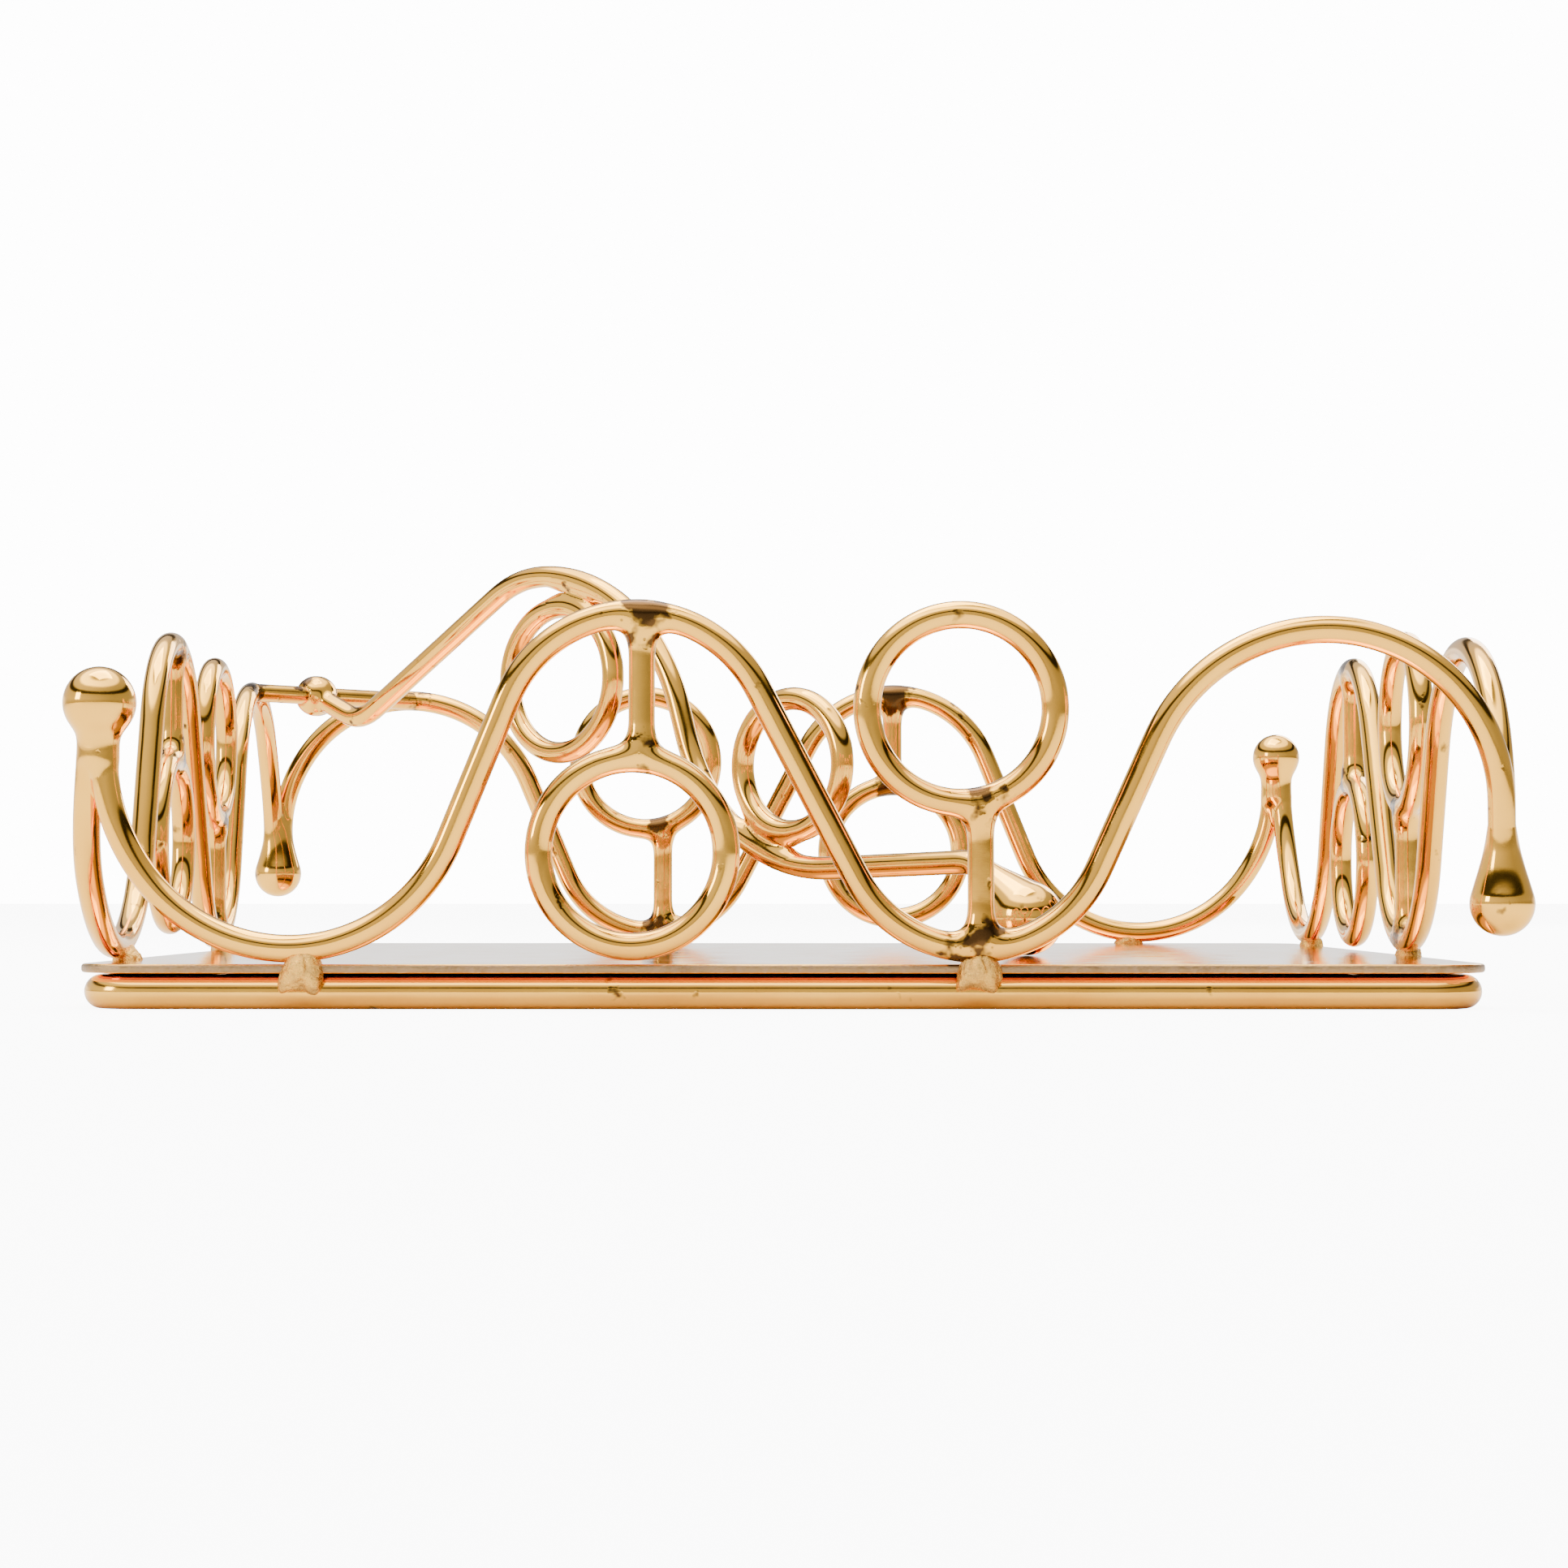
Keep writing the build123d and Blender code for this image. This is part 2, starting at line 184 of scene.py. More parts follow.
# Studio room: (sine of the height angle, brightness) bands that the metal mirrors
ROOM_BANDS = ((0.0, 0.12), (0.14, 0.20), (0.37, 0.18), (0.42, 0.008), (0.51, 0.008),
              (0.57, 0.20), (0.72, 0.24), (0.78, 1.0), (0.92, 1.0), (0.97, 0.14))
ROOM_POWER = 5.2
BEHIND_POWER = 1.5
BACKDROP_POWER = 14.0
FLOOR_GLOW = 8.0
FLOOR_HALF = 4000.0

# Lamps and camera, in metres, watts and degrees; lens and sensor in millimetres
SOFTBOXES = {
    "overhead": dict(place=(-0.05, 0.05, 0.8), target=(0.0, 0.0, 0.03), size=0.5, power=7.0),
    "left_fill": dict(place=(-0.95, -0.55, 0.32), target=(0.0, 0.0, 0.03), size=0.3, power=4.0),
    "back_strip": dict(place=(0.45, 0.9, 0.5), target=(0.0, 0.0, 0.04), size=0.45, power=5.0),
}
CAMERA_PLACE = (0.00385, -0.5276, 0.01516)
CAMERA_LIFT = 1.84
CAMERA_TURN = 0.465
LENS_LENGTH = 77.5
SENSOR_WIDTH = 36.0


# ---- sizes and colours a user would change ----

class TraySizes(bpy.types.PropertyGroup):
    """Thickness of the wires and rods, and the softness of the brazed joints."""

    wire: FloatProperty(
        name="Wire radius", description="Radius of the gallery, ring and arm wire",
        default=0.0018, min=0.001, max=0.003, subtype="DISTANCE", precision=5)
    stem: FloatProperty(
        name="Stem radius", description="Radius of the stems between wires and rings",
        default=0.00172, min=0.001, max=0.003, subtype="DISTANCE", precision=5)
    fillet: FloatProperty(
        name="Joint softness", description="How far a brazed joint flows out",
        default=0.0048, min=0.0005, max=0.008, subtype="DISTANCE", precision=5)
    base_rod: FloatProperty(
        name="Base rod radius", description="Radius of the rod under the plate",
        default=float(cad_height("base_ring")) * MM / 2,
        min=0.001, max=0.004, subtype="DISTANCE", precision=5)
    plate_corner: FloatProperty(
        name="Plate corner", description="Corner radius of the plate in plan",
        default=0.008, min=0.002, max=0.02, subtype="DISTANCE", precision=5)
    pin: FloatProperty(
        name="Hinge pin radius", description="Radius of the pin the arm turns on",
        default=0.0016, min=0.001, max=0.003, subtype="DISTANCE", precision=5)
    hub: FloatProperty(
        name="Hub radius", description="Radius of the round hub on the pin",
        default=0.0036, min=0.002, max=0.006, subtype="DISTANCE", precision=5)


class TrayColours(bpy.types.PropertyGroup):
    """Colours of the brass, its stains and the studio."""

    brass: FloatVectorProperty(
        name="Polished brass", description="Colour of the polished wire",
        default=(0.92, 0.48, 0.062), min=0, max=1, size=3, subtype="COLOR")
    brass_deep: FloatVectorProperty(
        name="Deep brass", description="Redder patches left by the buffing wheel",
        default=(0.80, 0.36, 0.038), min=0, max=1, size=3, subtype="COLOR")
    soot: FloatVectorProperty(
        name="Soot", description="Dark smears left around the brazed joints",
        default=(0.05, 0.022, 0.010), min=0, max=1, size=3, subtype="COLOR")
    bead: FloatVectorProperty(
        name="Raw bead", description="Unpolished braze metal",
        default=(0.85, 0.46, 0.08), min=0, max=1, size=3, subtype="COLOR")
    floor: FloatVectorProperty(
        name="Floor", description="Colour of the studio floor",
        default=(0.92, 0.92, 0.92), min=0, max=1, size=3, subtype="COLOR")


def sizes():
    return bpy.context.scene.tray_sizes


def colours():
    return bpy.context.scene.tray_colours


def in_mm(value):
    """Millimetres from a size of the panel."""
    return value / MM


# ---- bent centre lines ----

def run_angle(centre, radius, next_centre, next_radius):
    """Direction of the straight run between two bends; a crest's radius is negative."""
    across, rise = next_centre[0] - centre[0], next_centre[1] - centre[1]
    return atan2(rise, across) + asin((radius - next_radius) / hypot(across, rise))


def arc_points(centre, radius, first, last, step=LINE_STEP):
    """Points of a bend between two directions of travel."""
    count = max(2, int(abs(radius * (last - first)) / step))
    return [(centre[0] + radius * sin(a), centre[1] - radius * cos(a))
            for a in np.linspace(first, last, count)]


def bent_line(start, bends, end):
    """Centre line through (along, height, radius before, radius after) bends."""
    points, centre, radius = [start], start, 0.0
    for along, height, before, after in bends + [(*end, 0.0, 0.0)]:
        next_centre = (along, height + before)
        angle = run_angle(centre, radius, next_centre, before)
        if radius:
            points += arc_points(centre, radius, 0.0, angle)
        if before:
            points += arc_points(next_centre, before, angle, 0.0)
        centre, radius = (along, height + after), after
    points.append(end)
    return eased(np.array(points))


def eased(points, step=LINE_STEP, reach=7):
    """Evenly spaced points whose bends run softly into the straights."""
    gaps = np.linalg.norm(np.diff(points, axis=0), axis=1)
    points = points[np.r_[True, gaps > 1e-6]]
    travel = np.r_[0, np.cumsum(np.linalg.norm(np.diff(points, axis=0), axis=1))]
    even = np.linspace(0, travel[-1], int(travel[-1] / step))
    line = np.stack([np.interp(even, travel, points[:, i])
                     for i in range(points.shape[1])], axis=1)
    weights = np.hanning(2 * reach + 3)[1:-1]
    weights /= weights.sum()
    before = 2 * line[0] - line[reach:0:-1]
    after = 2 * line[-1] - line[-2:-reach - 2:-1]
    padded = np.vstack([before, line, after])
    return np.stack([np.convolve(padded[:, i], weights, "valid")
                     for i in range(line.shape[1])], axis=1)


def on_side(side, along, height, away=0.0):
    """Point of one side's upright plane, in millimetres."""
    rail = SIDES[side]
    lean, turn = radians(rail["out"] * rail["lean"]), radians(rail["turn"])
    along, height = np.asarray(along, float), np.asarray(height, float)
    x = along * cos(lean) - away * sin(lean)
    y = along * sin(lean) + away * cos(lean) + rail["out"] * (PLATE_SIDE / 2 + rail["beyond"])
    return np.stack([x * cos(turn) - y * sin(turn), x * sin(turn) + y * cos(turn),
                     height + 0 * x], axis=-1)


def across_side(side):
    """Direction square to one side's plane."""
    return on_side(side, 0.0, 0.0, 1.0) - on_side(side, 0.0, 0.0, 0.0)


def wire_radius():
    return in_mm(sizes().wire)


def valley_height():
    return PLATE_TOP + VALLEY_GAP + wire_radius()


def rail_ends(side):
    """Places of a rail's two ends along its side."""
    near, far = SIDES[side]["short"]
    return near - PLATE_SIDE / 2, PLATE_SIDE / 2 - far


def rail_line(side):
    """Centre line of a rail, from its ball to its drop."""
    rail = SIDES[side]
    start, end = rail_ends(side)
    crest_along, crest_radius = rail["crest"]
    low = valley_height()
    bends = [
        (VALLEY_ALONG[0], low, VALLEY_ALONG[0] - start, VALLEY_RADII[0]),
        (CREST_ALONG, rail["heights"][0], -CREST_RADIUS, -CREST_RADIUS),
        (VALLEY_ALONG[1], low, VALLEY_RADII[1], VALLEY_RADII[1]),
        (crest_along, rail["heights"][1], -crest_radius, crest_along - end),
    ]
    drop = CORNERS[DROP_OF[side]]["height"]
    line = bent_line((start, BALL_HEIGHT), bends, (end, drop))
    line = on_side(side, line[:, 0], line[:, 1])
    for corner, tip in ((BALL_OF[side], 0), (DROP_OF[side], -1)):
        line = gathered(line, line[tip], corner_centre(corner))
    return line


def gathered(line, tip, centre, reach=24.0, share=0.62):
    """A wire with one end drawn in towards the middle of its corner ball or drop."""
    distance = np.clip(np.linalg.norm(line - tip, axis=1) / reach, 0, 1)
    pull = share * (1 - distance * distance * (3 - 2 * distance))
    return line + pull[:, None] * (centre - tip) * LEVEL


def corner_centre(name):
    """Middle of a corner ball or drop, over the two wire ends that meet there."""
    corner = CORNERS[name]
    index = 0 if "ball" in name else 1
    first, second = (on_side(s, rail_ends(s)[index], corner["height"]) for s in corner["sides"])
    return first + (second - first) * corner["share"]


def crest_height(side, along):
    """Height of a rail's centre line before the top of its second crest."""
    crest_along, radius = SIDES[side]["crest"]
    top = SIDES[side]["heights"][1]
    return top - radius + sqrt(radius ** 2 - (crest_along - along) ** 2)


def pin_line():
    """Both ends of the hinge pin, inside the crests of the left and the back rail."""
    height = sum(crest_height(s, a) for s, a in PIN_ALONG.items()) / 2
    return np.array([on_side(s, a, height) for s, a in PIN_ALONG.items()])


def hinge_point():
    left, back = pin_line()
    return left + (back - left) * HUB_ON_PIN


def arm_directions():
    """Heading of the arm and direction of its pin, both level."""
    left, back = pin_line()
    pin = (back - left) / np.linalg.norm(back - left)
    return np.array([pin[1], -pin[0], 0.0]), pin


def on_arm(along, height):
    """Point of the arm's upright plane, in millimetres."""
    heading, _ = arm_directions()
    foot = hinge_point() * LEVEL
    along, height = np.asarray(along, float), np.asarray(height, float)
    return foot + along[..., None] * heading + height[..., None] * UP


def arm_bends():
    """Bends of the arm; the first two hang from the pin, the rest stand on the plate."""
    pin_height = float(hinge_point()[2])
    lifted = [(b[0], pin_height + b[1], b[2], b[3]) for b in (ARM_DIP, ARM_CREST)]
    return lifted + [(b[0], PLATE_TOP + b[1], b[2], b[3]) for b in (ARM_VALLEY, ARM_NECK)]


def arm_line():
    pin_height = float(hinge_point()[2])
    line = bent_line((0.0, pin_height), arm_bends(), weight_spot())
    return on_arm(line[:, 0], line[:, 1])


def weight_spot():
    """Middle of the weight's ball, in the arm's plane: it rests on the plate."""
    return WEIGHT_ALONG, PLATE_TOP + WEIGHT_RADIUS


def near(line, spot, reach):
    """The run of a centre line that passes a spot."""
    return line[np.linalg.norm(line - spot, axis=1) < reach]


# ---- meshes ----

def mesh_object(name, points, faces, smooth=True):
    """New object from points in millimetres."""
    mesh = bpy.data.meshes.new(name)
    mesh.from_pydata((np.asarray(points) * MM).tolist(), [], faces)
    work = bmesh.new()
    work.from_mesh(mesh)
    bmesh.ops.recalc_face_normals(work, faces=work.faces)
    work.to_mesh(mesh)
    work.free()
    for face in mesh.polygons:
        face.use_smooth = smooth
    mesh.validate()
    piece = bpy.data.objects.new(name, mesh)
    bpy.context.scene.collection.objects.link(piece)
    return piece


def grid_faces(rings, sides, closed):
    """Quads between rings of points, with a flat cap on each end of an open run."""
    faces = []
    for i in range(rings if closed else rings - 1):
        a, b = i * sides, (i + 1) % rings * sides
        faces += [(a + j, a + (j + 1) % sides, b + (j + 1) % sides, b + j)
                  for j in range(sides)]
    if not closed:
        faces += [tuple(range(sides))[::-1], tuple(range((rings - 1) * sides, rings * sides))]
    return faces


def swept(line, across, radius, sides=32, closed=False, dome=0.45, rim=0.25):
    """Round bar along a flat bent line; across is square to its plane.

    Each open end is a low dome that stops at the angle rim, where a flat cap closes it.
    """
    after, before = np.roll(line, -1, axis=0), np.roll(line, 1, axis=0)
    if not closed:
        after[-1], before[0] = 2 * line[-1] - line[-2], 2 * line[0] - line[1]
    tangent = after - before
    tangent /= np.linalg.norm(tangent, axis=1)[:, None]
    across = np.asarray(across, float) / np.linalg.norm(across)
    side = np.cross(tangent, across)
    side /= np.linalg.norm(side, axis=1)[:, None]
    centres, girths, sideways = list(line), [radius] * len(line), list(side)
    if not closed:
        for turn in np.linspace(pi / 2, rim, 5)[1:]:
            reach, girth = dome * radius * cos(turn), radius * sin(turn)
            centres = [line[0] - tangent[0] * reach, *centres, line[-1] + tangent[-1] * reach]
            girths = [girth, *girths, girth]
            sideways = [side[0], *sideways, side[-1]]
    angles = np.linspace(0, 2 * pi, sides, endpoint=False)
    centres, sideways, girths = np.array(centres), np.array(sideways), np.array(girths)
    circle = (np.cos(angles)[None, :, None] * sideways[:, None, :]
              + np.sin(angles)[None, :, None] * across[None, None, :])
    points = centres[:, None, :] + girths[:, None, None] * circle
    return points.reshape(-1, 3), grid_faces(len(centres), sides, closed)


def ball_mesh(centre, radius, detail):
    """Points and faces of a ball."""
    work = bmesh.new()
    bmesh.ops.create_icosphere(work, subdivisions=detail, radius=radius)
    points = np.array([v.co for v in work.verts]) + centre
    faces = [tuple(v.index for v in f.verts) for f in work.faces]
    work.free()
    return points, faces


def joined(parts):
    """One point list and face list from several closed shapes."""
    points, faces, base = [], [], 0
    for more_points, more_faces in parts:
        points.append(more_points)
        faces += [tuple(i + base for i in face) for face in more_faces]
        base += len(more_points)
    return np.vstack(points), faces


# ---- distance fields for the brazed joints ----

def bar_field(line, radius):
    """Distance to a round bar along a line of points."""
    starts, runs = line[:-1], np.diff(line, axis=0)
    lengths, squares = (runs ** 2).sum(axis=1), (line ** 2).sum(axis=1)

    def field(points):
        index = (squares - 2 * points @ line.T).argmin(axis=1)
        nearest = np.full(len(points), np.inf)
        for shift in (-1, 0):
            part = np.clip(index + shift, 0, len(starts) - 1)
            rel, run = points - starts[part], runs[part]
            share = np.clip((rel * run).sum(axis=1) / lengths[part], 0, 1)
            nearest = np.minimum(nearest, ((rel - share[:, None] * run) ** 2).sum(axis=1))
        return np.sqrt(nearest) - radius
    return field


def ring_field(centre, across, ring_radius, radius):
    """Distance to a round ring square to a direction."""
    def field(points):
        rel = points - centre
        out = rel @ across
        flat = np.linalg.norm(rel - out[:, None] * across, axis=1)
        return np.hypot(flat - ring_radius, out) - radius
    return field


def cone_field(start, end, start_radius, end_radius):
    """Distance to a bar that tapers between two balls."""
    run = end - start
    length = run @ run
    drop = start_radius - end_radius
    slant = length - drop ** 2

    def field(points):
        rel = points - start
        low = rel @ run
        high = low - length
        out = ((rel * length - low[:, None] * run) ** 2).sum(axis=1)
        limit = np.sign(drop) * drop ** 2 * out
        past_end = np.sign(high) * slant * high ** 2 * length > limit
        before_start = np.sign(low) * slant * low ** 2 * length < limit
        at_end = np.sqrt(out + high ** 2 * length) / length - end_radius
        at_start = np.sqrt(out + low ** 2 * length) / length - start_radius
        between = (np.sqrt(out * slant / length) + low * drop) / length - start_radius
        return np.where(past_end, at_end, np.where(before_start, at_start, between))
    return field


def ball_field(centre, radius=0.0):
    """Distance to a ball, or to a spot when it has no radius."""
    def field(points):
        return np.linalg.norm(points - centre, axis=1) - radius
    return field


def melted(first, second, softness):
    """Two shapes flowed together like braze metal."""
    def field(points):
        a, b = first(points), second(points)
        blend = np.maximum(softness - abs(a - b), 0) / softness
        return np.minimum(a, b) - blend ** 3 * softness / 6
    return field


def carved(shape, tool, softness=0.3):
    """The shape with the tool cut out of it."""
    def field(points):
        a, b = shape(points), -tool(points)
        blend = np.maximum(softness - abs(a - b), 0) / softness
        return np.maximum(a, b) + blend ** 3 * softness / 6
    return field


def sinking(shape, away, start, stop, depth=0.12):
    """The shape, sinking into the bars it joins with distance from the joint."""
    def field(points):
        distance = away(points)
        share = np.clip((distance - start) / (stop - start), 0, 1)
        sunk = shape(points) + depth * share * share * (3 - 2 * share)
        return np.maximum(sunk, distance - stop)
    return field


def slope(field, points, step=0.02):
    """Gradient of a field from four tries around each point."""
    tries = np.array([(1, -1, -1), (-1, -1, 1), (-1, 1, -1), (1, 1, 1)], float)
    return sum(field(points + step * way)[:, None] * way for way in tries) / (4 * step)


def pressed_on(points, field, rounds, flattest=0.2, longest=1.2):
    """Moves points onto the surface of a field, a short step at a time."""
    for _ in range(rounds):
        gradient = slope(field, points)
        size = np.maximum((gradient ** 2).sum(axis=1), flattest)
        shift = -gradient * (field(points) / size)[:, None]
        points = points + np.clip(shift, -longest, longest)
    return points


def remeshed(name, parts, voxel):
    """Even closed mesh around several overlapping shapes."""
    rough = mesh_object(name + "_rough", *joined(parts))
    remesh = rough.modifiers.new("even", "REMESH")
    remesh.mode = "VOXEL"
    remesh.voxel_size = voxel * MM
    graph = bpy.context.evaluated_depsgraph_get()
    mesh = bpy.data.meshes.new_from_object(rough.evaluated_get(graph))
    bpy.data.objects.remove(rough)
    points = np.empty(len(mesh.vertices) * 3)
    mesh.vertices.foreach_get("co", points)
    edges = np.empty(len(mesh.edges) * 2, int)
    mesh.edges.foreach_get("vertices", edges)
    faces = [tuple(face.vertices) for face in mesh.polygons]
    bpy.data.meshes.remove(mesh)
    return points.reshape(-1, 3) / MM, edges.reshape(-1, 2), faces


def relaxed(points, edges, share=0.5):
    """Moves points towards the middle of their neighbours."""
    total, count = np.zeros_like(points), np.zeros(len(points))
    for a, b in ((edges[:, 0], edges[:, 1]), (edges[:, 1], edges[:, 0])):
        np.add.at(total, a, points[b])
        np.add.at(count, a, 1)
    return points + share * (total / np.maximum(count, 1)[:, None] - points)


def fused(name, parts, field, voxel=JOINT_VOXEL):
    """Closed piece that follows a field, meshed evenly from rough parts."""
    points, edges, faces = remeshed(name, parts, voxel)
    for _ in range(3):
        points = pressed_on(relaxed(points, edges), field, rounds=1)
    return mesh_object(name, pressed_on(points, field, rounds=3), faces)


# ---- marks on the metal ----

SOOT_SPOTS = []


def sooted(piece):
    """Stores how dark each point is from the torch, in the attribute soot."""
    mesh = piece.data
    points = np.empty(len(mesh.vertices) * 3)
    mesh.vertices.foreach_get("co", points)
    points = points.reshape(-1, 3) / MM
    dark = np.zeros(len(points))
    for spot, reach, strength in SOOT_SPOTS:
        distance = np.linalg.norm(points - spot, axis=1) / reach
        dark = np.maximum(dark, strength * np.exp(-distance ** 2))
    layer = mesh.attributes.new("soot", "FLOAT", "POINT")
    layer.data.foreach_set("value", dark.astype(np.float32))


def finish_piece(piece, material, slot, body, *nodes):
    """Material, soot and what the piece stands for."""
    piece.data.materials.clear()
    piece.data.materials.append(material)
    sooted(piece)
    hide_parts(*nodes)
    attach(piece, body)


# ---- materials ----

def new_group(name, inputs, outputs):
    """Shader node group with named sockets, and its ends while it is still empty."""
    group = bpy.data.node_groups.get(name)
    if group:
        return group, None, None
    group = bpy.data.node_groups.new(name, "ShaderNodeTree")
    for label, kind, default in inputs:
        socket = group.interface.new_socket(label, in_out="INPUT", socket_type="NodeSocket" + kind)
        socket.default_value = default
    for label, kind in outputs:
        group.interface.new_socket(label, in_out="OUTPUT", socket_type="NodeSocket" + kind)
    return group, group.nodes.new("NodeGroupInput"), group.nodes.new("NodeGroupOutput")


class Tree:
    """Short way to add and join shader nodes."""

    def __init__(self, tree):
        self.tree = tree

    def node(self, kind, values=None, **settings):
        made = self.tree.nodes.new("ShaderNode" + kind)
        for key, value in settings.items():
            setattr(made, key, value)
        for key, value in (values or {}).items():
            if isinstance(value, bpy.types.NodeSocket):
                self.tree.links.new(value, made.inputs[key])
            else:
                made.inputs[key].default_value = value
        return made

    def join(self, source, target):
        self.tree.links.new(source, target)

    def math(self, operation, first, second=0.0):
        return self.node("Math", {0: first, 1: second}, operation=operation).outputs[0]

    def place(self):
        return self.node("TexCoord").outputs["Object"]

    def grain(self, scale, detail=3.0, rough=0.5, stretch=None):
        vector = self.place()
        if stretch:
            vector = self.node("Mapping", {"Vector": vector, "Scale": stretch}).outputs[0]
        return self.node("TexNoise", {"Vector": vector, "Scale": scale, "Detail": detail,
                                      "Roughness": rough}).outputs[0]

    def ramp(self, value, low, high, out_low=0.0, out_high=1.0):
        return self.node("MapRange", {"Value": value, "From Min": low, "From Max": high,
                                      "To Min": out_low, "To Max": out_high}).outputs[0]

    def mix(self, share, first, second):
        """Mix of two colours; sockets 6, 7 and 2 are the node's colour ones."""
        return self.node("Mix", {0: share, 6: first, 7: second}, data_type="RGBA").outputs[2]


def rgba(colour):
    return (*colour, 1.0)


def hand_polish_group():
    """Slight waves left by hand buffing, as a height."""
    group, take, give = new_group(
        "hand_polish", [("Waves", "Float", 0.5), ("Hairlines", "Float", 0.2)],
        [("Height", "Float"), ("Patches", "Float")])
    if take:
        tree = Tree(group)
        slow, quick = tree.grain(90.0, 2.0), tree.grain(300.0, 2.0)
        hair = tree.grain(900.0, 2.0, stretch=(1.0, 1.0, 9.0))
        waves = tree.math("MULTIPLY", tree.math("ADD", slow, tree.math("MULTIPLY", quick, 0.10)),
                          take.outputs["Waves"])
        lines = tree.math("MULTIPLY", tree.math("MULTIPLY", hair, take.outputs["Hairlines"]), 0.008)
        tree.join(tree.math("ADD", waves, lines), give.inputs["Height"])
        tree.join(tree.grain(60.0, 3.0, 0.6), give.inputs["Patches"])
    return group


def torch_soot_group():
    """Broken dark smears and pits where the torch was held."""
    group, take, give = new_group(
        "torch_soot", [("Amount", "Float", 1.0), ("Pits", "Float", 0.5)],
        [("Mask", "Float"), ("Height", "Float")])
    if take:
        tree = Tree(group)
        held = tree.node("Attribute", attribute_name="soot").outputs["Fac"]
        broken = tree.grain(250.0, 3.0, 0.5)
        reach = tree.math("MULTIPLY", held, take.outputs["Amount"])
        uneven = tree.math("MULTIPLY", tree.math("SUBTRACT", broken, 0.52), 2.2)
        smear = tree.ramp(tree.math("ADD", reach, uneven), 0.36, 0.52, 0.0, 0.95)
        specks = tree.node("TexVoronoi", {"Vector": tree.place(), "Scale": 700.0}).outputs[0]
        pits = tree.ramp(specks, 0.10, 0.18, 1.0, 0.0)
        near_joint = tree.ramp(held, 0.08, 0.3)
        pits = tree.math("MULTIPLY", tree.math("MULTIPLY", pits, near_joint), take.outputs["Pits"])
        mask = tree.math("MAXIMUM", smear, pits)
        tree.join(mask, give.inputs["Mask"])
        tree.join(tree.math("MULTIPLY", mask, -1.0), give.inputs["Height"])
    return group


def group_node(tree, group, **values):
    """A node group placed in a material with its own values."""
    made = tree.node("Group", node_tree=group)
    for key, value in values.items():
        made.inputs[key].default_value = value
    return made


def new_material(name):
    """New metal material, its nodes and its shader."""
    material = bpy.data.materials.new(name)
    material.use_nodes = True
    tree = Tree(material.node_tree)
    shader = material.node_tree.nodes["Principled BSDF"]
    shader.inputs["Metallic"].default_value = 1.0
    return material, tree, shader


def polished_brass(name="wire_brass", waves=0.35, deep=0.5, soot=1.0, rough=0.07):
    """Mirror-polished brass wire with buffing waves and torch marks."""
    if name in bpy.data.materials:
        return bpy.data.materials[name]
    material, tree, shader = new_material(name)
    tint = colours()
    polish = group_node(tree, hand_polish_group(), Waves=waves, Hairlines=0.3)
    marks = group_node(tree, torch_soot_group(), Amount=soot, Pits=0.6)
    patches = tree.ramp(polish.outputs["Patches"], 0.35, 0.7, 0.0, deep)
    metal = tree.mix(patches, rgba(tint.brass), rgba(tint.brass_deep))
    tree.join(tree.mix(marks.outputs["Mask"], metal, rgba(tint.soot)), shader.inputs["Base Color"])
    shine = tree.ramp(tree.grain(200.0, 4.0), 0.3, 0.8, rough * 0.7, rough * 2.2)
    tree.join(tree.math("MAXIMUM", shine, tree.math("MULTIPLY", marks.outputs["Mask"], 0.22)),
              shader.inputs["Roughness"])
    height = tree.math("ADD", polish.outputs["Height"],
                       tree.math("MULTIPLY", marks.outputs["Height"], 0.12))
    bump = tree.node("Bump", {"Strength": 0.55, "Distance": 0.0004, "Height": height})
    tree.join(bump.outputs[0], shader.inputs["Normal"])
    return material


def plate_brass():
    """Flat sheet: polished faces, brushed and pitted cut edge."""
    if "sheet_brass" in bpy.data.materials:
        return bpy.data.materials["sheet_brass"]
    material, tree, shader = new_material("sheet_brass")
    tint = colours()
    polish = group_node(tree, hand_polish_group(), Waves=0.07, Hairlines=0.4)
    facing = tree.node("SeparateXYZ", {0: tree.node("TexCoord").outputs["Normal"]}).outputs[2]
    cut = tree.ramp(tree.math("ABSOLUTE", facing), 0.55, 0.9, 1.0, 0.0)
    pits = tree.ramp(tree.grain(1300.0, 4.0, 0.7), 0.44, 0.62)
    stain = tree.ramp(tree.grain(95.0, 5.0, 0.65), 0.5, 0.72, 0.0, 0.7)
    dull, stained, pitted = (0.34, 0.21, 0.09), (0.15, 0.08, 0.035), (0.36, 0.22, 0.12)
    edge = tree.mix(stain, rgba(dull), rgba(stained))
    edge = tree.mix(tree.math("MULTIPLY", pits, 0.55), edge, rgba(pitted))
    tree.join(tree.mix(cut, rgba(tint.brass), edge), shader.inputs["Base Color"])
    tree.join(tree.math("ADD", tree.ramp(tree.grain(160.0, 4.0), 0.3, 0.8, 0.05, 0.13),
                        tree.math("MULTIPLY", cut, 0.28)), shader.inputs["Roughness"])
    height = tree.math("ADD", polish.outputs["Height"],
                       tree.math("MULTIPLY", tree.math("MULTIPLY", pits, cut), -0.25))
    bump = tree.node("Bump", {"Strength": 0.5, "Distance": 0.0004, "Height": height})
    tree.join(bump.outputs[0], shader.inputs["Normal"])
    return material


